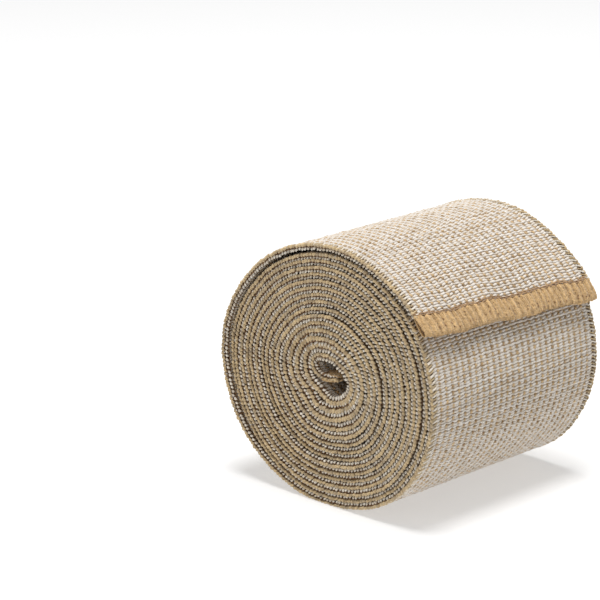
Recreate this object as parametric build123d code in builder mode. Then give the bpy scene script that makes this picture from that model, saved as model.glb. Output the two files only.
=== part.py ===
"""Rolled elastic hand wrap: a woven elastic band wound on itself, with looped edges and overlocked ends.

The roll lies on its side.  Its axis runs along Y, +Z is up, and the origin is under the middle of its
bounding box, on the surface that it rests on.  Seen from -Y the band winds outwards clockwise: under
the roll, up the -X side, over the top and down the +X side, where its free end lies.
"""
from build123d import *
from math import cos, exp, pi, radians, sin
import os

os.makedirs("parts", exist_ok=True)

# Driving dimensions (mm, turns)
BAND_WIDTH = 50.0        # along Y
BAND_THICK = 1.10
LAP_PITCH = 1.36         # growth of the radius in one turn
EDGE_WIDTH = 1.30        # looped edge along each side of the band
ELASTIC_THICK = 0.30     # rubber warp threads, one layer in the middle of the weave
ELASTIC_MARGIN = 1.50    # bare weave between the rubber threads and each looped edge
EDGE_GAP = 0.02          # between the weave and its looped edges
WIDE = 1.032             # the roll is a little wider than tall
TALL = 0.963
CENTRE_X = 0.52          # axis of the winding, from the middle of the bounding box
PRESSED = 0.35           # how much the weight of the roll presses its underside flat

INNER_RADIUS = 3.0       # middle of the band, where the winding starts
INNER_TURN = 2.31        # the inner end, in turns from the top
LOWEST_TURN = 17.5       # the underside of the outermost wound turn
BASE_TURN = 17.55        # where the outer lap leaves the roll, just past the underside
END_TURN = 18.165        # the free end, at about two o'clock
LAP_SEGMENTS = 10        # the outer lap flexes at this many lines
STEPS_PER_TURN = 12      # arcs in one turn of the winding
SEGMENT_GAP = 0.10       # between neighbouring stretches of the outer lap
LOOSE = 0.30             # how far the outer lap stands off the roll, at its base
FREE_END_LIFT = 0.40     # and how much further at its free end

CORE_SLACK = 2.72        # the innermost turns are wound loosely, and take up this much more radius
CORE_SETTLE = 1.5        # turns over which the winding gets tight
CORE_STRETCH = 0.28      # the eye is longer along one slanted line
CORE_LINE = radians(120)
CORE_FADE = 3.0          # turns over which the eye's shape fades out

OVERLOCK_DEPTH = 4.0     # along the band
OVERLOCK_THICK = 0.22
OVERLOCK_LIP = 0.25      # thread beyond the cut end of the band
CHAIN_WIDTH = 0.60
CHAIN_PROUD = 0.10
CHAIN_SUNK = 0.15

HALF_WIDTH = BAND_WIDTH / 2
HALF_THICK = BAND_THICK / 2
WEAVE_HALF = HALF_WIDTH - EDGE_WIDTH - EDGE_GAP


def radius(turn):
    """Middle of the band at a place in the winding, before the roll is flattened."""
    wound = turn - INNER_TURN
    slack = CORE_SLACK * (1 - exp(-wound / CORE_SETTLE))
    plain = INNER_RADIUS + LAP_PITCH * wound + slack
    eye = CORE_STRETCH * exp(-wound / CORE_FADE) * cos(2 * (2 * pi * turn - CORE_LINE))
    past_base = max(0.0, turn - BASE_TURN)
    loose = LOOSE * min(1.0, past_base / 0.1)
    lift = FREE_END_LIFT * (past_base / (END_TURN - BASE_TURN)) ** 3
    return plain * (1 + eye) + loose + lift


CENTRE_Z = TALL * (radius(LOWEST_TURN) + HALF_THICK) - PRESSED


def at(turn, offset=0.0):
    """Point of the winding in the XZ plane, a distance outside the middle of the band."""
    reach = radius(turn) + offset
    angle = 2 * pi * turn
    return (CENTRE_X + WIDE * reach * sin(angle), CENTRE_Z + TALL * reach * cos(angle))


def turns_for(length, turn):
    """Turns that a length of band takes up at a place in the winding."""
    return length / (2 * pi * radius(turn))


def run_of_band(start, end, inside, outside, y_low, y_high):
    """Solid of a stretch of the band between two offsets from its middle and two places across it."""
    steps = max(1, round((end - start) * STEPS_PER_TURN))
    stops = [start + (end - start) * step / steps for step in range(steps + 1)]
    with BuildPart() as run:
        with BuildSketch(Plane.XZ.offset(-y_high)):
            with BuildLine():
                for first, last in zip(stops, stops[1:]):
                    middle = (first + last) / 2
                    ThreePointArc(at(first, inside), at(middle, inside), at(last, inside))
                    ThreePointArc(at(first, outside), at(middle, outside), at(last, outside))
                Line(at(start, inside), at(start, outside))
                Line(at(end, inside), at(end, outside))
            make_face()
        extrude(amount=y_high - y_low)
    return run.part


def woven_band(start, end):
    """The weave, with a flat pocket in its middle for the layer of rubber threads."""
    pocket_half = WEAVE_HALF - ELASTIC_MARGIN
    with BuildPart() as weave:
        add(run_of_band(start, end, -HALF_THICK, HALF_THICK, -WEAVE_HALF, WEAVE_HALF))
        add(
            run_of_band(start, end, -ELASTIC_THICK / 2, ELASTIC_THICK / 2, -pocket_half, pocket_half),
            mode=Mode.SUBTRACT,
        )
    return weave.part


def elastic_layer(start, end):
    pocket_half = WEAVE_HALF - ELASTIC_MARGIN
    return run_of_band(start, end, -ELASTIC_THICK / 2, ELASTIC_THICK / 2, -pocket_half, pocket_half)


def looped_edge(start, end, side):
    """Looped edge on the -Y side (side = -1) or the +Y side (side = +1) of the band."""
    near, far = sorted((side * HALF_WIDTH, side * (HALF_WIDTH - EDGE_WIDTH)))
    return run_of_band(start, end, -HALF_THICK, HALF_THICK, near, far)


def overlock_reach(cut_end, direction):
    """Where the overlock starts and ends along the winding."""
    inner_border = cut_end - direction * turns_for(OVERLOCK_DEPTH, cut_end)
    tip = cut_end + direction * turns_for(OVERLOCK_LIP, cut_end)
    return sorted((inner_border, tip))


def overlock(cut_end, direction):
    """Thread wrapped over a cut end of the band: both faces and the end itself."""
    start, end = overlock_reach(cut_end, direction)
    before, after = sorted((cut_end, cut_end + direction * 2 * turns_for(OVERLOCK_LIP, cut_end)))
    half_full = HALF_THICK + 0.02
    half_core = HALF_THICK - OVERLOCK_THICK
    with BuildPart() as held_end:
        add(run_of_band(start, end, -half_core, half_core, -HALF_WIDTH, HALF_WIDTH))
        beyond = run_of_band(before, after, -BAND_THICK, BAND_THICK, -BAND_WIDTH, BAND_WIDTH)
        add(beyond, mode=Mode.SUBTRACT)
    with BuildPart() as wrap:
        add(run_of_band(start, end, -half_full, half_full, -HALF_WIDTH, HALF_WIDTH))
        add(held_end.part, mode=Mode.SUBTRACT)
    return wrap.part


def overlock_room(cut_end, direction):
    """What the overlock takes from the two faces of the band."""
    start, end = overlock_reach(cut_end, direction)
    half_core = HALF_THICK - OVERLOCK_THICK
    with BuildPart() as room:
        add(run_of_band(start, end, half_core, BAND_THICK, -HALF_WIDTH, HALF_WIDTH))
        add(run_of_band(start, end, -BAND_THICK, -half_core, -HALF_WIDTH, HALF_WIDTH))
    return room.part


def chain_stitch(cut_end, direction, proud):
    """Two lines of thread along the border of the overlock, one on each face of the band."""
    border = cut_end - direction * turns_for(OVERLOCK_DEPTH + 0.05, cut_end)
    inner = border - direction * turns_for(CHAIN_WIDTH, cut_end)
    start, end = sorted((border, inner))
    sunk = HALF_THICK - CHAIN_SUNK
    with BuildPart() as chain:
        add(run_of_band(start, end, sunk, HALF_THICK + proud, -HALF_WIDTH, HALF_WIDTH))
        add(run_of_band(start, end, -HALF_THICK, -sunk, -HALF_WIDTH, HALF_WIDTH))
    return chain.part


def rest_on_surface(solid):
    """Press the underside flat where the roll lies on it."""
    with BuildPart() as pressed:
        add(solid)
        split(bisect_by=Plane.XY, keep=Keep.TOP)
    return pressed.part


def without(solid, *taken):
    with BuildPart() as rest:
        add(solid)
        for piece in taken:
            add(piece, mode=Mode.SUBTRACT)
    return rest.part


def save(solid, label):
    solid.label = label
    export_step(solid, f"parts/{label}.step")


# The two cut ends
inner_room = overlock_room(INNER_TURN, -1)
inner_chain = chain_stitch(INNER_TURN, -1, 0.0)
outer_room = overlock_room(END_TURN, 1)
outer_chain = chain_stitch(END_TURN, 1, CHAIN_PROUD)

# The roll, from the inner end to where the outer lap leaves it
roll_end = BASE_TURN - turns_for(SEGMENT_GAP / 2, BASE_TURN)
save(rest_on_surface(without(woven_band(INNER_TURN, roll_end), inner_room, inner_chain)), "roll_band")
save(elastic_layer(INNER_TURN, roll_end), "roll_elastic_threads")
for side, name in ((-1, "near"), (1, "far")):
    edge = looped_edge(INNER_TURN, roll_end, side)
    save(rest_on_surface(without(edge, inner_room, inner_chain)), f"roll_{name}_edge")
save(overlock(INNER_TURN, -1), "inner_end_overlock")
save(inner_chain, "inner_end_chain_stitch")

# The outer lap, in stretches that hinge where the fabric flexes
turn_step = (END_TURN - BASE_TURN) / LAP_SEGMENTS
for number in range(1, LAP_SEGMENTS + 1):
    is_last = number == LAP_SEGMENTS
    hinge = BASE_TURN + turn_step * (number - 1)
    start = hinge + turns_for(SEGMENT_GAP / 2, hinge)
    end = END_TURN if is_last else hinge + turn_step - turns_for(SEGMENT_GAP / 2, hinge)
    taken = (outer_room, outer_chain) if is_last else ()
    save(without(woven_band(start, end), *taken), f"lap_{number:02d}_band")
    save(elastic_layer(start, end), f"lap_{number:02d}_elastic_threads")
    for side, name in ((-1, "near"), (1, "far")):
        save(without(looped_edge(start, end, side), *taken), f"lap_{number:02d}_{name}_edge")
save(overlock(END_TURN, 1), "outer_end_overlock")
save(outer_chain, "outer_end_chain_stitch")
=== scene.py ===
"""Looks of the rolled elastic hand wrap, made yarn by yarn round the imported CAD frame.

Every piece is laid out in the band's own coordinates, in millimetres: along the band from its inner
end, across it, and off its middle towards the outside of the roll.  One function, wind, turns those
coordinates into places in the roll.  Seen from -Y the band winds outwards clockwise.

Every random number comes from a generator with a fixed seed, so each run makes the same yarns.
"""

import bpy
import numpy as np
from mathutils import Matrix, Vector


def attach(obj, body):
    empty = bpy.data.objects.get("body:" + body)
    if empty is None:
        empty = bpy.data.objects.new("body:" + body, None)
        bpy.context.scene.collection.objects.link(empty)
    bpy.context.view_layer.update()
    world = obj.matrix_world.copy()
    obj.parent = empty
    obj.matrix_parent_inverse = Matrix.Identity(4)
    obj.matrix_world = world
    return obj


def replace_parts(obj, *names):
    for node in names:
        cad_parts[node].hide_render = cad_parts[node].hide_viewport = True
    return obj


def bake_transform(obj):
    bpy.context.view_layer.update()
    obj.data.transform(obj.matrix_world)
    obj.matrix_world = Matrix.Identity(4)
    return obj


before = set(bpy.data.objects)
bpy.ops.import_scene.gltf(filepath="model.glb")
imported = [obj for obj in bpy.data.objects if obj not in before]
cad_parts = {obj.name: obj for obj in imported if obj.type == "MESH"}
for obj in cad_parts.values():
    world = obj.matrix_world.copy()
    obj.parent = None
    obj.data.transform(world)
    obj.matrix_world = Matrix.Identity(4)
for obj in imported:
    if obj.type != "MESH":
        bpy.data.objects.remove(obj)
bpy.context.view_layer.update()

MM = 0.001
TAU = 2 * np.pi

# ---------------------------------------------------------------- driving values
# In millimetres and turns.  Turns are counted along the winding: at a whole number the band is at the
# top of the roll, and a quarter of a turn later it is on the +X side.
BAND_WIDTH = 50.0
BAND_THICK = 1.10
LAP_PITCH = 1.36         # radius gained in a turn
WIDE = 1.032             # the round winding is spread sideways
TALL = 0.963             # and flattened downwards
CENTRE_X = 0.52          # axis of the winding
PRESSED = 0.35           # taken off the underside by the roll's own weight
INNER_RADIUS = 3.0
INNER_TURN = 2.31        # the inner end
LOWEST_TURN = 17.5       # where the outer lap lies on the table
BASE_TURN = 17.55        # the first hinge of the outer lap
END_TURN = 18.165        # the free end
LAP_SEGMENTS = 10
LOOSE = 0.30             # how far the outer lap stands off the roll
FREE_END_LIFT = 0.40     # and how much further its free end does
CORE_SLACK = 2.72        # the innermost turns are loose
CORE_SETTLE = 1.5        # turns over which they tighten
CORE_STRETCH = 0.28      # they are longer one way than the other
CORE_LINE = np.radians(120)
CORE_FADE = 3.0          # turns over which they get round

HALF_WIDTH = BAND_WIDTH / 2
HALF_THICK = BAND_THICK / 2
GROUND_HALF = 0.26       # the ground cloth under the surface yarns
GROUND_SIDE = 24.45      # and how far across it reaches
PICK_PITCH = 0.61        # crosswise white yarns, along the band
COLUMN_PITCH = 1.77      # lengthwise tan yarns, across the band
RIM_PITCH = 0.84         # stitches round the looped edges
STROKE_PITCH = 1.25      # and those that reach over the faces
WEAVE_SIDE = 23.6        # where the weave meets the looped edge
EYE_LENGTH = 60.0        # of the band whose faces can be seen down the eye of the roll
SHOWN_TURNS = 1.04       # of the roll whose outside can be seen once the outer lap is unrolled
HEM_DEPTH = 3.9          # overlock at the two cut ends
HEM_OVERLAP = 0.1        # the weave runs on under it
RIB_PITCH = 0.35         # threads of the overlock, across the band
RIB_GROUP = 1.66         # which bunch into ribs

# The loose, dented innermost turns, as points from the axis of the winding (x, z)
CORE_ROUTE = [
    (2.3, 0.7), (1.4, 0.6), (0.4, 0.4), (-0.9, 0.3), (-2.4, 0.5), (-3.6, 1.2), (-4.2, 2.2), (-4.2, 3.3),
    (-3.2, 4.2), (-1.4, 4.4), (0.4, 4.3), (2.4, 3.5), (4.2, 2.4), (5.3, 0.9), (5.6, -0.7), (4.8, -2.3),
    (3.1, -3.6), (0.8, -4.1), (-0.9, -3.5), (-2.2, -2.4), (-3.8, -1.5), (-5.2, -0.3), (-5.9, 2.0),
    (-5.9, 3.4), (-5.2, 4.8), (-3.8, 5.8), (-2.0, 6.2), (0.0, 6.2), (2.0, 5.7), (3.7, 4.9), (5.3, 3.7),
    (6.5, 2.0), (7.0, 0.1), (6.6, -2.0), (5.3, -3.9), (3.0, -5.1), (0.6, -5.7), (-1.8, -5.6),
    (-3.3, -4.9), (-4.4, -3.4), (-5.8, -2.2), (-7.2, -1.0), (-8.0, 0.5), (-8.1, 2.1), (-7.7, 3.7),
    (-6.8, 5.3), (-5.4, 6.6),
]
ROUTE_END_TURN = 4.896   # place in the winding of the route's last point
DENT_FADE = 4.0          # turns over which its dents fade out
REACH_FADE = 2.0         # turns over which the spiral takes over from its last radius

# ---------------------------------------------------------------- camera and light
CAMERA_AZIMUTH = np.radians(44)
CAMERA_ELEVATION = np.radians(16.3)
CAMERA_DISTANCE = 0.5456
CAMERA_RIGHT = -0.0222
CAMERA_UP = 0.0099
CAMERA_LENS = 162.8
SENSOR_WIDTH = 36
LOOK_AT_HEIGHT = 0.0263
WORLD_STRENGTH = 0.30
FLOOR_REACH = 3.0
FLOOR_GREY = 0.62
FLOOR_GLOW = 0.42        # the floor shines a little, so that it comes out white


def make_camera():
    ca, sa = np.cos(CAMERA_AZIMUTH), np.sin(CAMERA_AZIMUTH)
    ce, se = np.cos(CAMERA_ELEVATION), np.sin(CAMERA_ELEVATION)
    back = Vector((sa * ce, -ca * ce, se))
    right = Vector((ca, sa, 0))
    up = back.cross(right)
    camera = bpy.data.objects.new("camera", bpy.data.cameras.new("camera"))
    bpy.context.scene.collection.objects.link(camera)
    camera.data.lens = CAMERA_LENS
    camera.data.sensor_width = SENSOR_WIDTH
    camera.data.clip_start, camera.data.clip_end = 0.01, 20
    look_at = Vector((0, 0, LOOK_AT_HEIGHT))
    place = look_at + CAMERA_DISTANCE * back + CAMERA_RIGHT * right + CAMERA_UP * up
    turn = Matrix((right, up, back)).transposed().to_4x4()
    camera.matrix_world = Matrix.Translation(place) @ turn
    bpy.context.scene.camera = camera


def make_light(name, place, size, power, aim=(0, 0, 0.02)):
    data = bpy.data.lights.new(name, "AREA")
    data.shape, data.size, data.energy = "DISK", size, power
    lamp = bpy.data.objects.new(name, data)
    bpy.context.scene.collection.objects.link(lamp)
    lamp.location = place
    lamp.rotation_euler = (Vector(aim) - Vector(place)).to_track_quat("-Z", "Y").to_euler()


def make_world():
    world = bpy.data.worlds.new("studio")
    world.use_nodes = True
    background = world.node_tree.nodes["Background"]
    background.inputs["Color"].default_value = (1, 1, 1, 1)
    background.inputs["Strength"].default_value = WORLD_STRENGTH
    bpy.context.scene.world = world
    bpy.context.scene.view_settings.view_transform = "Standard"


def make_floor():
    mesh = bpy.data.meshes.new("floor")
    corners = [(x * FLOOR_REACH, y * FLOOR_REACH, 0) for x, y in ((-1, -1), (1, -1), (1, 1), (-1, 1))]
    mesh.from_pydata(corners, [], [(0, 1, 2, 3)])
    floor = bpy.data.objects.new("floor", mesh)
    bpy.context.scene.collection.objects.link(floor)
    paint = bpy.data.materials.new("floor")
    paint.use_nodes = True
    shader = paint.node_tree.nodes["Principled BSDF"]
    shader.inputs["Base Color"].default_value = (FLOOR_GREY, FLOOR_GREY, FLOOR_GREY, 1)
    shader.inputs["Emission Color"].default_value = (1, 1, 1, 1)
    shader.inputs["Emission Strength"].default_value = FLOOR_GLOW
    shader.inputs["Roughness"].default_value = 0.9
    mesh.materials.append(paint)


make_camera()
make_world()
make_light("key", place=(0.04, -0.04, 1.0), size=0.5, power=10.2)
make_light("fill", place=(-0.10, -0.90, 0.60), size=0.6, power=0.62)
make_floor()


# ---------------------------------------------------------------- curves
def smooth(value, low, high):
    """0 below low, 1 above high, and a soft slope between."""
    share = np.clip((value - low) / (high - low), 0, 1)
    return share * share * (3 - 2 * share)


def hill(value, height, up, down):
    """0, up a slope to a height, and down another to 0."""
    return height * smooth(value, *up) * (1 - smooth(value, *down))


def wander(value, *waves):
    """A smooth uneven line: waves are (wavelength, height, phase)."""
    return sum(height * np.sin(TAU * value / length + phase) for length, height, phase in waves)


def smooth_route(points, per_span=24):
    """Points of a Catmull-Rom curve through a route."""
    p = np.array([2 * np.array(points[0]) - points[1], *points, 2 * np.array(points[-1]) - points[-2]])
    t = np.linspace(0, 1, per_span, endpoint=False)[:, None]
    spans = [
        0.5 * (2 * b + (c - a) * t + (2 * a - 5 * b + 4 * c - d) * t**2 + (3 * b - a - 3 * c + d) * t**3)
        for a, b, c, d in zip(p, p[1:], p[2:], p[3:])
    ]
    return np.vstack(spans)


# ---------------------------------------------------------------- the winding
LOOSE_OVER = 0.1         # turns over which the outer lap comes off the roll
# neighbouring laps share a faint unevenness, so that they never meet: waves a turn, height, phase
UNEVEN = [(3, 0.16, 0.7), (5, 0.10, 2.1), (8, 0.06, 0.0)]
UNEVEN_TURNS = (5.0, 9.0)    # over which it sets in
# on the roll's -X side the outer lap stands further off, and the one under it is pulled tight:
# distance, and the turns over which it comes and goes
GAP_SHIFTS = [(0.30, (17.56, 17.68), (17.84, 18.02)), (-0.25, (16.50, 16.64), (16.88, 17.04))]
SPIRAL_STEP = 0.0008     # turns between the points that the spiral is worked out at
LINE_STEP = 0.2          # millimetres between the points that are kept
ROUNDING = 9             # kept points over which the route's corners are rounded


def radius(turn, with_eye=True):
    """Middle of the band at a place in the winding, before the roll is flattened."""
    wound = turn - INNER_TURN
    slack = CORE_SLACK * (1 - np.exp(-wound / CORE_SETTLE))
    eye = with_eye * CORE_STRETCH * np.exp(-wound / CORE_FADE) * np.cos(2 * (TAU * turn - CORE_LINE))
    past_base = np.maximum(0.0, turn - BASE_TURN)
    loose = LOOSE * np.minimum(1.0, past_base / LOOSE_OVER)
    lift = FREE_END_LIFT * (past_base / (END_TURN - BASE_TURN)) ** 3
    return (INNER_RADIUS + LAP_PITCH * wound + slack) * (1 + eye) + loose + lift


CENTRE_Z = TALL * (radius(LOWEST_TURN) + HALF_THICK) - PRESSED


def spiral_reach(turn, core):
    """Radius of the spiral past the route: it starts at the route's last radius and keeps its dents."""
    core_turn = np.unwrap(np.arctan2(core[:, 0] / WIDE, core[:, 1] / TALL)) / TAU
    core_turn = core_turn - core_turn[-1] + ROUTE_END_TURN
    core_reach = np.hypot(core[:, 0] / WIDE, core[:, 1] / TALL)
    # past its first third, the route only goes forwards round the axis
    forwards = len(core) // 3
    lap = np.linspace(0, 1, 200)
    last_lap = np.interp(ROUTE_END_TURN - 1 + lap, core_turn[forwards:], core_reach[forwards:])
    dents = last_lap - np.interp(lap, (0, 1), (last_lap[0], last_lap[-1]))
    past_route = turn - ROUTE_END_TURN
    tight = radius(turn, with_eye=False)
    reach = tight + (core_reach[-1] - tight[0]) * np.exp(-past_route / REACH_FADE)
    reach = reach + np.interp(past_route % 1, lap, dents) * np.exp(-past_route / DENT_FADE)
    angle = TAU * turn
    uneven = sum(height * np.sin(waves * angle + phase) for waves, height, phase in UNEVEN)
    reach = reach + uneven * smooth(turn, *UNEVEN_TURNS)
    for distance, comes, goes in GAP_SHIFTS:
        reach = reach + hill(turn, distance, comes, goes)
    return reach


def make_winding():
    """The middle line of the band in the XZ plane: places along it, points, normals to the outside, turns."""
    core = smooth_route(CORE_ROUTE)
    turn = np.arange(ROUTE_END_TURN, END_TURN + 0.02, SPIRAL_STEP)
    reach = spiral_reach(turn, core)
    spiral = np.stack([WIDE * reach * np.sin(TAU * turn), TALL * reach * np.cos(TAU * turn)], 1)
    line = np.vstack([core, spiral]) + (CENTRE_X, CENTRE_Z)
    step = np.linalg.norm(np.diff(line, axis=0), axis=1)
    along = np.concatenate([[0], np.cumsum(step)])
    even = np.arange(0, along[-1], LINE_STEP)
    line = np.stack([np.interp(even, along, line[:, i]) for i in (0, 1)], 1)
    turns_there = np.interp(even, along[len(core):], turn, left=0)
    # rounding takes the corners out of the route
    kernel = np.hanning(ROUNDING) / np.hanning(ROUNDING).sum()
    past = ROUNDING // 2
    before, after = 2 * line[0] - line[past:0:-1], 2 * line[-1] - line[-2:-2 - past:-1]
    padded = np.vstack([before, line, after])
    line = np.stack([np.convolve(padded[:, i], kernel, "valid") for i in (0, 1)], 1)
    tangent = np.gradient(line, even, axis=0)
    tangent /= np.linalg.norm(tangent, axis=1)[:, None]
    normal = np.stack([-tangent[:, 1], tangent[:, 0]], 1)
    return even, line, normal, turns_there


LINE_S, LINE, NORMAL, LINE_TURN = make_winding()


def place_of(turn):
    """Length along the band at a turn of the winding, past the route."""
    first = np.argmax(LINE_TURN > 0)
    return float(np.interp(turn, LINE_TURN[first:], LINE_S[first:]))


BAND_END = place_of(END_TURN)
TURN_STEP = (END_TURN - BASE_TURN) / LAP_SEGMENTS
# the middles of the CAD's stretches, half a stretch before and after each hinge
MIDS = [place_of(BASE_TURN + TURN_STEP * (k - 0.5)) for k in range(LAP_SEGMENTS + 1)]
SHOWN_FROM = place_of(BASE_TURN - SHOWN_TURNS)

# the outer cut end isn't square to the band: shift along, slant by distance across, and waves
CUT_SHIFT = 1.08
CUT_SLANT = 0.055
CUT_WAVES = [(19.0, 0.22, 0.4), (7.0, 0.10, 1.9)]
CUT_REACH = 45           # length of band over which that comes in
# the loosely wound inner turns puff up: share of thickness, and where it comes and goes
PUFF = 0.45
PUFF_PLACES = (6, 18), (60, 330)
# the laps don't line up sideways: waves along the band, and a push at the inner end that fades
SIDEWAYS_WAVES = [(411.0, 0.16, 0.3), (173.0, 0.12, 1.1), (67.0, 0.06, 2.0)]
INNER_PUSH = 0.35
INNER_PUSH_FADE = 60
FLOOR_MARGIN = 0.4       # below this height, all is squeezed so that it stays above the table


def wind(band):
    """Row-frame points, in metres, of band points (along, across, off the middle)."""
    s, y, h = band[..., 0], band[..., 1], band[..., 2]
    near_end = smooth(s, BAND_END - CUT_REACH, BAND_END)
    s = s + near_end * (CUT_SHIFT + CUT_SLANT * y + wander(y, *CUT_WAVES))

    def lift(height, reach, share):
        """Off the roll by this height at the cut, over this length of band and share of its width."""
        return height * share * smooth(s, BAND_END - reach, BAND_END + 1)

    h = h * (1 + hill(s, PUFF, *PUFF_PLACES))
    # the free end stands off the roll at its near corner, at its far corner and in its middle
    h = h + lift(height=0.35, reach=16, share=smooth(-y, -4, HALF_WIDTH))
    h = h + lift(height=0.25, reach=12, share=smooth(y, 8, HALF_WIDTH))
    h = h + lift(height=0.30, reach=9, share=0.5 + 0.5 * np.sin(TAU * y / 21 + 0.5))
    x = np.interp(s, LINE_S, LINE[:, 0]) + h * np.interp(s, LINE_S, NORMAL[:, 0])
    z = np.interp(s, LINE_S, LINE[:, 1]) + h * np.interp(s, LINE_S, NORMAL[:, 1])
    shift = wander(s, *SIDEWAYS_WAVES) + INNER_PUSH * np.exp(-s / INNER_PUSH_FADE)
    # the weight of the roll presses its underside flat
    squeezed = FLOOR_MARGIN * np.exp(np.minimum(z - FLOOR_MARGIN, 0) / FLOOR_MARGIN)
    z = np.where(z < FLOOR_MARGIN, squeezed, z)
    return np.stack([x, y + shift, z], -1) * MM


# ---------------------------------------------------------------- mesh building
TUBE_SIDES = 6
# where each yarn's fibres lie in the noise that colours them
YARN_APART = 7.3         # between one yarn and the next
YARN_ROUND = 0.25        # from one side of a yarn to the other
YARN_SETS = 97           # places for the sets of yarns that make up a piece


class Piece:
    """One mesh, gathered from tubes and slabs laid out in band coordinates."""

    def __init__(self, name):
        self.name = name
        self.points, self.faces, self.tone, self.yarn = [], [], [], []
        self.count = 0

    def add_grid(self, points, tone, yarn):
        """Closed tubes with capped ends.

        points is (n, rings, sides, 3), tone has a value for each tube, ring or point, and yarn has the
        place of each point in the noise.
        """
        n, rings, sides, _ = points.shape
        index = self.count + np.arange(n * rings * sides).reshape(n, rings, sides)
        around = np.roll(index, -1, axis=2)
        quads = np.stack([index[:, :-1], around[:, :-1], around[:, 1:], index[:, 1:]], -1)
        self.faces += [(4, quads.reshape(-1, 4)), (sides, index[:, 0, ::-1]), (sides, index[:, -1, :])]
        self.points.append(points.reshape(-1, 3))
        self.tone.append(np.broadcast_to(tone, (n, rings, sides)).reshape(-1))
        self.yarn.append(yarn.reshape(-1, 3))
        self.count += n * rings * sides

    def add_tubes(self, paths, wide, tall, tone, up=(0, 0, 1)):
        """Yarns along paths (n, rings, 3), with half widths, half heights and tones (n, rings)."""
        n, rings, _ = paths.shape
        wide = np.broadcast_to(wide, (n, rings))
        tall = np.broadcast_to(tall, (n, rings))
        tangent = np.gradient(paths, axis=1)
        tangent /= np.linalg.norm(tangent, axis=2, keepdims=True) + 1e-12
        side = np.cross(np.broadcast_to(np.array(up, float), tangent.shape), tangent)
        side /= np.linalg.norm(side, axis=2, keepdims=True) + 1e-12
        top = np.cross(tangent, side)
        place = np.arange(TUBE_SIDES) / TUBE_SIDES
        c, s = np.cos(TAU * (place - 0.25)), np.sin(TAU * (place - 0.25))
        points = (
            paths[:, :, None]
            + side[:, :, None] * (wide[:, :, None] * c)[..., None]
            + top[:, :, None] * (tall[:, :, None] * s)[..., None]
        )
        length = np.linalg.norm(np.diff(paths, axis=1), axis=2)
        along = np.concatenate([np.zeros((n, 1)), np.cumsum(length, 1)], 1)
        yarn = np.zeros((n, rings, TUBE_SIDES, 3))
        yarn[..., 0] = along[:, :, None] + YARN_APART * np.arange(n)[:, None, None]
        yarn[..., 1] = YARN_ROUND * (1 - np.abs(2 * place - 1))
        yarn[..., 2] = self.count % YARN_SETS
        self.add_grid(points, np.asarray(tone, float)[..., None], yarn)

    def finish(self, material, slot):
        """The wound mesh as an object, with what the material reads stored by point."""
        band = np.vstack(self.points)
        points = wind(band)
        mesh = bpy.data.meshes.new(self.name)
        loops = np.concatenate([f.reshape(-1) for _, f in self.faces])
        sizes = np.concatenate([np.full(len(f), k) for k, f in self.faces])
        starts = np.concatenate([[0], np.cumsum(sizes)[:-1]])
        mesh.vertices.add(len(points))
        mesh.vertices.foreach_set("co", points.astype(np.float32).ravel())
        mesh.loops.add(len(loops))
        mesh.loops.foreach_set("vertex_index", loops.astype(np.int32))
        mesh.polygons.add(len(sizes))
        mesh.polygons.foreach_set("loop_start", starts.astype(np.int32))
        mesh.polygons.foreach_set("loop_total", sizes.astype(np.int32))
        mesh.polygons.foreach_set("use_smooth", np.ones(len(sizes), bool))
        mesh.update(calc_edges=True)
        for name, kind, field, values in (
            ("tone", "FLOAT", "value", np.concatenate(self.tone)),
            ("yarn", "FLOAT_VECTOR", "vector", np.vstack(self.yarn)),
            ("band", "FLOAT_VECTOR", "vector", band),
        ):
            store = mesh.attributes.new(name, kind, "POINT")
            store.data.foreach_set(field, values.astype(np.float32).ravel())
        piece = bpy.data.objects.new(self.name, mesh)
        bpy.context.scene.collection.objects.link(piece)
        mesh.materials.append(material)
        return piece


# ---------------------------------------------------------------- materials
PLY_TWIST = 0.42         # length of a twist along the yarn
BUMP_DEPTH = 0.00006     # metres


def linear(colour):
    """A display colour from 0 to 255 as Blender's linear one."""
    c = np.array(colour) / 255
    c = np.where(c <= 0.04045, c / 12.92, ((c + 0.055) / 1.055) ** 2.4)
    return (*[float(x) for x in c], 1)


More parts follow.
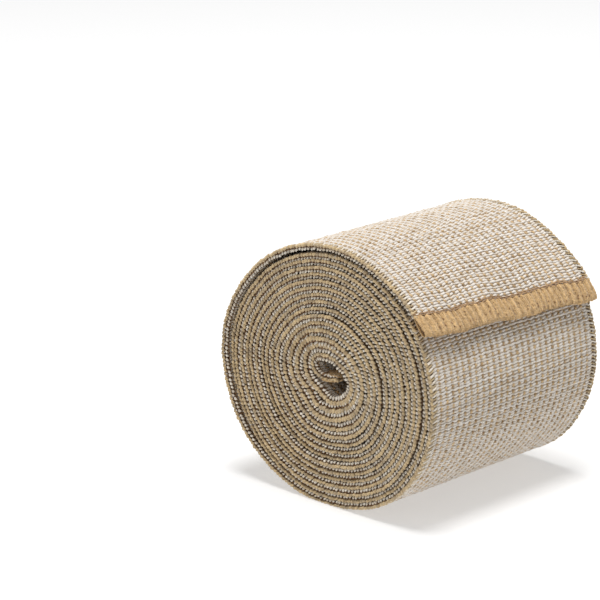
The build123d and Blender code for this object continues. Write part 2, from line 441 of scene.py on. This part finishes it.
def yarn_material(name, dark, light, fleck, fleck_share=0.35, twist=PLY_TWIST, sheen=0.25, grain=2.4):
    """Twisted yarn: colour varies from yarn to yarn, along it and by fibre, with a twist in its bump."""
    made = bpy.data.materials.new(name)
    made.use_nodes = True
    nodes, link = made.node_tree.nodes, made.node_tree.links.new

    def feed(target, inputs):
        """Each input is another node's output or a constant."""
        for key, value in inputs.items():
            if isinstance(value, bpy.types.NodeSocket):
                link(value, target.inputs[key])
            else:
                target.inputs[key].default_value = value
        return target

    def node(kind, inputs, **settings):
        new = nodes.new(kind)
        for key, value in settings.items():
            setattr(new, key, value)
        return feed(new, inputs)

    def math(operation, *inputs):
        return node("ShaderNodeMath", dict(enumerate(inputs)), operation=operation).outputs[0]

    def ramp(value, low, high):
        """Colour between two stops (place, colour)."""
        new = node("ShaderNodeValToRGB", {"Fac": value})
        for stop, (place, colour) in zip(new.color_ramp.elements, (low, high)):
            stop.position, stop.color = place, colour
        return new.outputs["Color"]

    tone = node("ShaderNodeAttribute", {}, attribute_name="tone").outputs["Fac"]
    yarn = node("ShaderNodeAttribute", {}, attribute_name="yarn").outputs["Vector"]
    band = node("ShaderNodeAttribute", {}, attribute_name="band").outputs["Vector"]

    # patches of several millimetres, and short lengths of lighter or darker fibre
    patch = node("ShaderNodeTexNoise", {"Vector": band, "Scale": 0.35, "Detail": 3}).outputs["Fac"]
    fibre = node("ShaderNodeTexNoise", {"Vector": yarn, "Scale": grain, "Detail": 5, "Roughness": 0.65})
    fibre = fibre.outputs["Fac"]

    # twist: a wave that climbs round the yarn as it runs along it
    split = node("ShaderNodeSeparateXYZ", {"Vector": yarn})
    plies = math("MULTIPLY", split.outputs["Y"], 2.0)
    climb = math("MULTIPLY_ADD", split.outputs["X"], 1 / twist, plies)
    ply = math("SINE", math("MULTIPLY", climb, TAU))

    lightness = math("MULTIPLY_ADD", tone, 0.55, math("MULTIPLY", fibre, 0.55))
    colour = ramp(lightness, (0.22, linear(dark)), (0.72, linear(light)))
    flecks = ramp(patch, (0.50, (0, 0, 0, 1)), (0.72, (fleck_share, fleck_share, fleck_share, 1)))
    mixed = node("ShaderNodeMix", {"Factor": flecks, "A": colour, "B": linear(fleck)}, data_type="RGBA")
    # the twist also scales the colour, darker in the grooves between the plies and lighter on their crests:
    # painted shade and highlight
    shade = node("ShaderNodeMapRange", {
        "Value": ply, "From Min": -1, "From Max": 1, "To Min": 0.86, "To Max": 1.05,
    })
    toned = node("ShaderNodeVectorMath", {
        0: mixed.outputs["Result"], "Scale": shade.outputs["Result"],
    }, operation="SCALE")
    height = math("MULTIPLY_ADD", fibre, 0.6, math("MULTIPLY", ply, 0.35))
    bump = node("ShaderNodeBump", {"Height": height, "Strength": 0.6, "Distance": BUMP_DEPTH})
    feed(nodes["Principled BSDF"], {
        "Base Color": toned.outputs["Vector"], "Normal": bump.outputs["Normal"], "Roughness": 0.85,
        "Sheen Weight": sheen, "Sheen Roughness": 0.6, "Specular IOR Level": 0.25,
    })
    return made


WHITE = yarn_material("white_weave_yarn", (190, 176, 158), (234, 227, 218), (210, 190, 160))
TAN = yarn_material("tan_weave_yarn", (118, 88, 52), (208, 178, 134), (180, 148, 106))
GROUND = yarn_material("ground_cloth", (104, 66, 36), (210, 182, 142), (170, 134, 90), sheen=0.05)
ROPE = yarn_material("edge_tan_yarn", (114, 86, 54), (212, 187, 144), (168, 152, 128), fleck_share=0.7)
BEAD = yarn_material("edge_white_yarn", (146, 124, 94), (238, 230, 216), (208, 180, 140))
HEM = yarn_material("overlock_thread", (116, 84, 48), (226, 188, 132), (184, 146, 96), twist=0.34, grain=5.5)
# dark spots painted for the shade inside the needle holes
HEM_SHADE = yarn_material("needle_hole_painted_shade", (104, 68, 34), (146, 100, 54), (120, 82, 44))
CHAIN = yarn_material("chain_thread", (96, 66, 40), (186, 148, 104), (140, 104, 68), twist=0.30)


# ---------------------------------------------------------------- the woven faces
FACES = ((1, "outer"), (-1, "inner"))
# a white yarn floats over the cloth from one column of tan yarns to the next
FLOATS = 31              # more than there are across the band
RINGS_A_FLOAT = 8
WEFT_HALF = (0.255, 0.20)    # half width and half height
WEFT_SINK = 0.12         # where it passes under a tan yarn, it lies this far into the ground cloth
WEFT_RISE = 0.28         # and a float rises this far above that
WEFT_SKEW = (0.02, 0.12)     # how far a float is skewed, along the band
OVER_SHARE = (0.12, 0.42)    # of the rise, kept at the columns by every other white yarn
WARP_COLUMNS = 26
WARP_HALF = (0.36, 0.17)
WARP_SINK = 0.10
WARP_RISE = (0.22, 0.38)
WARP_REACH = (0.25, 0.36)    # half the length of a tan yarn that shows between two white ones
WARP_SLANT = 0.012       # along the band, by distance across it
WARP_RINGS = 7


def column_sway(s):
    """How far the lengthwise yarns wander across the band."""
    return wander(s, (31.0, 0.12, 0.7), (11.0, 0.07, 2.2))


def weft(piece, start, end, face):
    """White crosswise yarns on one face (+1 outer, -1 inner) of a stretch of the band."""
    first, last = int(np.ceil(start / PICK_PITCH)), int(np.ceil(end / PICK_PITCH))
    picks = np.arange(first, last)
    n = len(picks)
    rings = int(2 * WEAVE_SIDE / COLUMN_PITCH * RINGS_A_FLOAT) + 1
    y = np.linspace(-WEAVE_SIDE, WEAVE_SIDE, rings)
    chance = np.random.default_rng(first * 2 + (face > 0))
    column = (y[None] - column_sway(picks * PICK_PITCH)[:, None]) / COLUMN_PITCH
    which = np.floor(column + 0.5).astype(int) + FLOATS // 2

    def by_float(low, high):
        return np.take_along_axis(chance.uniform(low, high, (n, FLOATS)), which, 1)

    # each float lies a little askew between the lengthwise yarns
    s = picks[:, None] * PICK_PITCH - by_float(*WEFT_SKEW) * np.sin(TAU * column)
    s = s + 0.035 * np.sin(TAU * y / 11 + chance.uniform(0, TAU, (n, 1))) + chance.normal(0, 0.03, (n, 1))
    # every other yarn passes under the lengthwise ones, and the rest stay over them
    arch = np.abs(np.cos(np.pi * column)) ** 1.05
    arch = arch + (1 - arch) * (picks % 2)[:, None] * chance.uniform(*OVER_SHARE, (n, 1))
    h = face * (GROUND_HALF - WEFT_SINK + WEFT_RISE * arch * by_float(0.8, 1.1))
    paths = np.stack([s, np.broadcast_to(y, s.shape), h], -1)
    swell = 0.66 + 0.46 * arch + 0.05 * np.sin(TAU * y / 3.1 + chance.uniform(0, TAU, (n, 1)))
    # lighter where a float rises and darker where it dips under the tan yarns: painted shade
    tone = 0.2 * chance.random((n, rings)) + 0.2 * chance.random((n, 1)) + by_float(0, 0.3) + 0.3 * arch
    piece.add_tubes(paths, WEFT_HALF[0] * swell, WEFT_HALF[1] * swell, tone, (0, 0, face))


def warp(piece, start, end, face):
    """Tan lengthwise yarns: up over every other crosswise yarn, and down in the dark gap between."""
    y0 = (np.arange(WARP_COLUMNS) - WARP_COLUMNS / 2 + 0.5) * COLUMN_PITCH
    cell = 2 * PICK_PITCH
    sites = np.arange(np.ceil(start / cell), np.ceil(end / cell))
    chance = np.random.default_rng(int(sites[0]) * 2 + 7001 + (face > 0))
    at_s, at_y = np.meshgrid(sites * cell, y0)
    at_s = at_s + WARP_SLANT * at_y + chance.normal(0, 0.05, at_s.shape)
    at_y = at_y + column_sway(at_s) + chance.normal(0, 0.05, at_y.shape)
    n = at_s.size
    t = np.linspace(-1, 1, WARP_RINGS)
    paths = np.zeros((n, WARP_RINGS, 3))
    paths[..., 0] = at_s.reshape(n, 1) + chance.uniform(*WARP_REACH, (n, 1)) * t
    paths[..., 1] = at_y.reshape(n, 1) + chance.normal(0, 0.06, (n, 1)) * t
    paths[..., 2] = face * (GROUND_HALF - WARP_SINK + chance.uniform(*WARP_RISE, (n, 1)) * (1 - t**2))
    swell = np.sqrt(np.maximum(0.05, 1 - t**4)) * chance.uniform(0.85, 1.15, (n, 1))
    tone = 0.2 + 0.5 * chance.random((n, 1)) + 0.12 * (1 + t)
    piece.add_tubes(paths, WARP_HALF[0] * swell, WARP_HALF[1] * swell, tone, (0, 0, face))


# ---------------------------------------------------------------- the looped edges
# Routes are (along the band, in from its rim, off its middle), and halves (half width, half height)
ROPE_ROUTE = [
    (-0.36, 0.70, 0.20), (-0.25, 0.32, 0.24), (0.00, 0.12, 0.33), (0.25, 0.30, 0.43), (0.35, 0.70, 0.48),
]
BEAD_ROUTE = [
    (-0.24, 0.75, -0.62), (-0.14, 0.49, -0.54), (0.00, 0.39, -0.43), (0.14, 0.49, -0.32), (0.24, 0.75, -0.24),
]
# strokes over a face: from round the rim where it can be seen, and from further in where it is covered
SHOWN_ROUTE = [
    (0.18, 0.30, 0.18), (0.14, 0.28, 0.40), (0.0, 0.75, 0.49), (-0.22, 1.45, 0.45), (-0.38, 2.05, 0.28),
]
COVERED_ROUTE = [
    (0.06, 1.5, 0.25), (0.0, 1.6, 0.42), (-0.08, 1.75, 0.44), (-0.16, 1.95, 0.40), (-0.25, 2.2, 0.25),
]
ROPE_HALF = (0.33, 0.28)
BEAD_HALF = (0.25, 0.24)
TAN_STROKE_HALF = (0.25, 0.16)
WHITE_STROKE_HALF = (0.29, 0.19)


def strokes(piece, span, pitch, offset, side, route, half, wobble):
    """The same short yarn at every place of a span of the band, on one side of it."""
    first, last = (int(np.ceil(place / pitch - offset)) for place in span)
    n = last - first
    chance = np.random.default_rng(first + 31 + int(offset * 10))
    places = (np.arange(first, last) + offset) * pitch + chance.normal(0, 0.035, n)
    route = np.array(route)
    paths = np.zeros((n, len(route), 3))
    paths[..., 0] = places[:, None] + route[:, 0]
    paths[..., 1] = side * (HALF_WIDTH - route[:, 1])
    paths[..., 2] = route[:, 2]
    paths += chance.normal(0, wobble, (n, 1, 3))
    swell = chance.uniform(0.9, 1.1, (n, 1))
    t = np.linspace(-1, 1, len(route))
    swell = swell * (1 - 0.5 * t**4)
    # lighter in a stroke's middle, where it stands out, and darker at its ends, where it tucks in: painted
    # shade
    tone = 0.45 * chance.random((n, 1)) + 0.55 * (1 - t**2)
    # up is across the band, and leans a little so that no yarn runs along it
    piece.add_tubes(paths, half[0] * swell, half[1] * swell, tone, up=(0.03, side, 0.1))


def rim(tan, white, span, side):
    """Along the band's edge: a tan rope outside, and white beads inside with dark between them."""
    strokes(tan, span, RIM_PITCH, 0.0, side, ROPE_ROUTE, ROPE_HALF, 0.05)
    strokes(white, span, RIM_PITCH, 0.5, side, BEAD_ROUTE, BEAD_HALF, 0.05)


def face_strokes(tan, white, span, side, face, route):
    """Strokes that hold the rim to one face of the band: tan and white by turns outside, and all tan inside,
    as painted shade for the gaps between laps where that face shows.
    """
    route = [(s, inward, face * h) for s, inward, h in route]
    strokes(tan, span, STROKE_PITCH, 0.1, side, route, TAN_STROKE_HALF, 0.03)
    # on the inner face the white strokes take the tan material: painted shade
    strokes(white if face > 0 else tan, span, STROKE_PITCH, 0.6, side, route, WHITE_STROKE_HALF, 0.03)


# ---------------------------------------------------------------- ground cloth
GROUND_RIM = (23.0, 24.0)    # across the band, where the cloth gets dark: partly the dark brown elastic of the rim, partly painted shade of the gaps between laps
GROUND_PLACES = [12, 22.6, 23.3, 24.0, GROUND_SIDE]    # of its points, closer together there


def ground(name, start, end, step):
    """The cloth under the surface yarns: one closed slab."""
    piece = Piece(name)
    s = np.linspace(start, end, max(3, int((end - start) / step)))
    y = np.concatenate([-np.array(GROUND_PLACES[::-1]), [0], GROUND_PLACES])
    ring_y = np.concatenate([y, y[::-1]])
    points = np.zeros((1, len(s), len(ring_y), 3))
    points[..., 0] = s[:, None]
    points[..., 1] = ring_y
    points[..., 2] = np.repeat([-GROUND_HALF, GROUND_HALF], len(y))
    # the cloth's tone falls towards its rims: painted shade in the gaps between laps and between the edge
    # loops, on top of the elastic's own dark brown
    piece.add_grid(points, 1 - smooth(np.abs(ring_y), *GROUND_RIM), points)
    return piece.finish(GROUND, "weave")


# ---------------------------------------------------------------- the overlocked ends
RIB_HALF = (0.24, 0.17)
RIB_STEP = 0.22          # between the points of a thread
HOLE_ROWS = [(0.8, 0.45), (1.7, 0.7), (2.8, 0.35)]    # in from the cut, and the share of holes that shows
HOLE_HALF = (0.13, 0.06)
HOLE_HEIGHT = 0.76       # off the middle of the band
HOLE_RINGS = 4
CHAIN_PITCH = 1.25
CHAIN_HALF = 0.12
CHAIN_BORDER = 0.22      # between the overlock and the chain
CHAIN_RINGS = 7


def overlock_ribs(piece, cut, direction):
    """Thread wrapped over a cut end: up one face, over the end and down the other, rib by rib."""
    y = np.arange(-HALF_WIDTH + 0.35, HALF_WIDTH - 0.2, RIB_PITCH)
    n = len(y)
    chance = np.random.default_rng(900 + direction)
    # the route of a thread, as (past the cut, off the middle)
    outer = [(-HEM_DEPTH, 0.34), (-HEM_DEPTH + 0.12, 0.54)]
    outer += [(s, 0.60 - 0.05 * (s + 2.2) ** 2 / 2.2) for s in np.arange(-3.6, -0.3, RIB_STEP)]
    tip = [(-0.08, 0.44), (0.12, 0.28), (0.20, 0.0), (0.12, -0.28), (-0.08, -0.44)]
    inner = [(s, -h) for s, h in reversed(outer)]
    past, off = np.array(outer + tip + inner).T
    rings = len(past)
    # threads bunch into ribs, which stand higher away from the cut
    group = np.cos(TAU * y / RIB_GROUP + wander(y, (13.0, 0.9, 0.2), (5.1, 0.4, 1.0)))[:, None]
    depth = np.clip(-past / HEM_DEPTH, 0, 1)
    bulge = (0.03 + 0.10 * depth) * group
    lean = 0.06 + 0.05 * np.sin(TAU * y / 13 + 1.0)[:, None] + chance.normal(0, 0.008, (n, 1))
    sway = 0.05 * np.sin(past * 2.2 + TAU * y[:, None] / 5.3)
    paths = np.zeros((n, rings, 3))
    paths[..., 0] = cut + direction * past + direction * chance.normal(0, 0.05, (n, 1))
    rough = chance.normal(0, 0.03, (n, rings))
    paths[..., 1] = y[:, None] + lean * past * np.sign(off) + sway + chance.normal(0, 0.025, (n, rings))
    paths[..., 2] = off + np.sign(off) * bulge * (np.abs(off) > 0.40) + rough
    knots = 1 + 0.22 * chance.normal(size=(n, rings))
    # lighter on the ribs' crests and darker between them: painted highlight and shade
    tone = 0.30 * chance.random((n, 1)) + 0.45 * chance.random((n, rings)) + 0.12 * (1 + group)
    piece.add_tubes(paths, RIB_HALF[0] * knots, RIB_HALF[1], tone)


def needle_hole_painted_shade(piece, cut, direction):
    """Small dark spots, in three rows, where the overlock's needles went through: painted shade of the holes.
    """
    chance = np.random.default_rng(77)
    shades = np.random.default_rng(41)
    t = np.linspace(-1, 1, HOLE_RINGS)
    for inward, share in HOLE_ROWS:
        y = np.arange(-HALF_WIDTH + 1.2, HALF_WIDTH - 0.8, RIB_GROUP)
        y = y[chance.random(len(y)) < share]
        n = len(y)
        paths = np.zeros((n, HOLE_RINGS, 3))
        paths[..., 0] = cut - direction * (inward + chance.normal(0, 0.25, (n, 1))) + 0.13 * t
        paths[..., 1] = y[:, None] + chance.normal(0, 0.2, (n, 1)) + 0.06 * t
        paths[..., 2] = HOLE_HEIGHT - 0.03 * t**2
        piece.add_tubes(paths, *HOLE_HALF, shades.random((n, 1)))


def chain_row(piece, cut, direction, face):
    """A chain of brown stitches along the inner border of the overlock."""
    places = np.arange(-HALF_WIDTH + 0.8, HALF_WIDTH - 0.5, CHAIN_PITCH)[:, None]
    n = len(places)
    chance = np.random.default_rng(640 + face)
    border = cut - direction * (HEM_DEPTH + CHAIN_BORDER)
    wave = wander(places, (9.5, 0.16, 0.6), (3.7, 0.08, 2.0))
    t = np.linspace(-1, 1, CHAIN_RINGS)
    bow = 0.19 * (1 - t**2)
    for leg in (-1, 1):
        paths = np.zeros((n, CHAIN_RINGS, 3))
        paths[..., 0] = border + wave + leg * bow + chance.normal(0, 0.03, (n, 1))
        paths[..., 1] = places + 0.74 * CHAIN_PITCH * t
        paths[..., 2] = face * (0.56 + 0.10 * (1 - t**2) + 0.05 * t)
        # lighter in a stitch's middle, where it stands highest, and darker at its ends: painted shade
        tone = chance.random((n, 1)) * 0.5 + 0.5 * (1 - t**2)
        piece.add_tubes(paths, CHAIN_HALF, CHAIN_HALF, tone, (0, 0, face))


# ---------------------------------------------------------------- pieces of one stretch
def weave_pieces(name, start, end, faces=FACES):
    """The yarns of one stretch of the band, by face and kind."""
    made = []
    for face, word in faces:
        for kind, lay, material in (("weft", weft, WHITE), ("warp", warp, TAN)):
            piece = Piece(f"{name}_{word}_{kind}")
            lay(piece, start, end, face)
            made.append(piece.finish(material, "weave"))
    return made


def edge_pieces(name, start, end, side, outer=None, inner=None):
    """The looped edge of one stretch, with the routes its strokes take over the two faces."""
    tan, white = Piece(f"{name}_tan_loops"), Piece(f"{name}_white_loops")
    span = (start, end)
    rim(tan, white, span, side)
    for face, route in ((1, outer), (-1, inner)):
        if route:
            face_strokes(tan, white, span, side, face, route)
    return [tan.finish(ROPE, "looped_edge"), white.finish(BEAD, "looped_edge")]


def overlock_piece(word, cut, direction):
    """The overlock of one cut end."""
    piece = Piece(f"{word}_end_overlock_thread")
    overlock_ribs(piece, cut, direction)
    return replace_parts(piece.finish(HEM, "overlock_thread"), f"{word}_end_overlock")


def chain_piece(word, cut, direction):
    """The chain stitch along an overlock, on both faces."""
    piece = Piece(f"{word}_end_chain")
    for face, _ in FACES:
        chain_row(piece, cut, direction, face)
    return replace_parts(piece.finish(CHAIN, "chain_thread"), f"{word}_end_chain_stitch")


def split(start, end, count):
    """Equal parts of a stretch of the band, as (number from 1, start, end)."""
    stops = np.linspace(start, end, count + 1)
    return zip(range(1, count + 1), stops, stops[1:])


# ---------------------------------------------------------------- the roll itself
SIDES = ((-1, "near"), (1, "far"))
SHOWN_PARTS = 8          # so that no piece has too many faces
EYE_PARTS = 3

roll_end = MIDS[0]
cloth = ground("roll_ground_cloth", 0.0, roll_end, step=0.8)
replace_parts(cloth, "roll_band", "roll_elastic_threads")
on_roll = []
for number, start, end in split(SHOWN_FROM, roll_end, SHOWN_PARTS):
    on_roll += weave_pieces(f"roll_turn_{number}", start, end, faces=FACES[:1])
for number, start, end in split(0, EYE_LENGTH, EYE_PARTS):
    on_roll += weave_pieces(f"roll_eye_{number}", start, end)
for side, word in SIDES:
    edges = edge_pieces(f"roll_{word}_edge", 0.0, SHOWN_FROM, side)
    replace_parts(edges[0], f"roll_{word}_edge")
    on_roll += edges
    on_roll += edge_pieces(f"roll_{word}_edge_outer", SHOWN_FROM, roll_end, side, SHOWN_ROUTE)
on_roll += [overlock_piece("inner", 0.0, -1), chain_piece("inner", 0.0, -1)]
for piece in [cloth, *on_roll]:
    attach(piece, "roll")

# ---------------------------------------------------------------- the outer lap, hinge by hinge
for number in range(1, LAP_SEGMENTS + 1):
    last = number == LAP_SEGMENTS
    body = f"lap_{number:02d}"
    start, end = MIDS[number - 1], BAND_END if last else MIDS[number]
    weave_end = BAND_END - HEM_DEPTH + HEM_OVERLAP if last else end
    cloth = ground(f"{body}_ground_cloth", start, end, step=0.5)
    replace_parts(cloth, f"{body}_band", f"{body}_elastic_threads")
    on_lap = weave_pieces(body, start, weave_end)
    for side, word in SIDES:
        edges = edge_pieces(f"{body}_{word}_edge", start, weave_end, side, SHOWN_ROUTE, COVERED_ROUTE)
        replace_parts(edges[0], f"{body}_{word}_edge")
        on_lap += edges
    if last:
        on_lap.append(overlock_piece("outer", BAND_END, 1))
        holes = Piece("outer_end_needle_holes")
        needle_hole_painted_shade(holes, BAND_END, 1)
        on_lap.append(holes.finish(HEM_SHADE, "overlock_thread"))
        on_lap.append(chain_piece("outer", BAND_END, 1))
    # places in the roll of the band's middle at the middles of this body and the next
    bend_start, bend_end = (tuple(wind(np.array([s, 0.0, 0.0]))) for s in (MIDS[number - 1], MIDS[number]))
    for piece in [cloth, *on_lap]:
        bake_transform(piece)
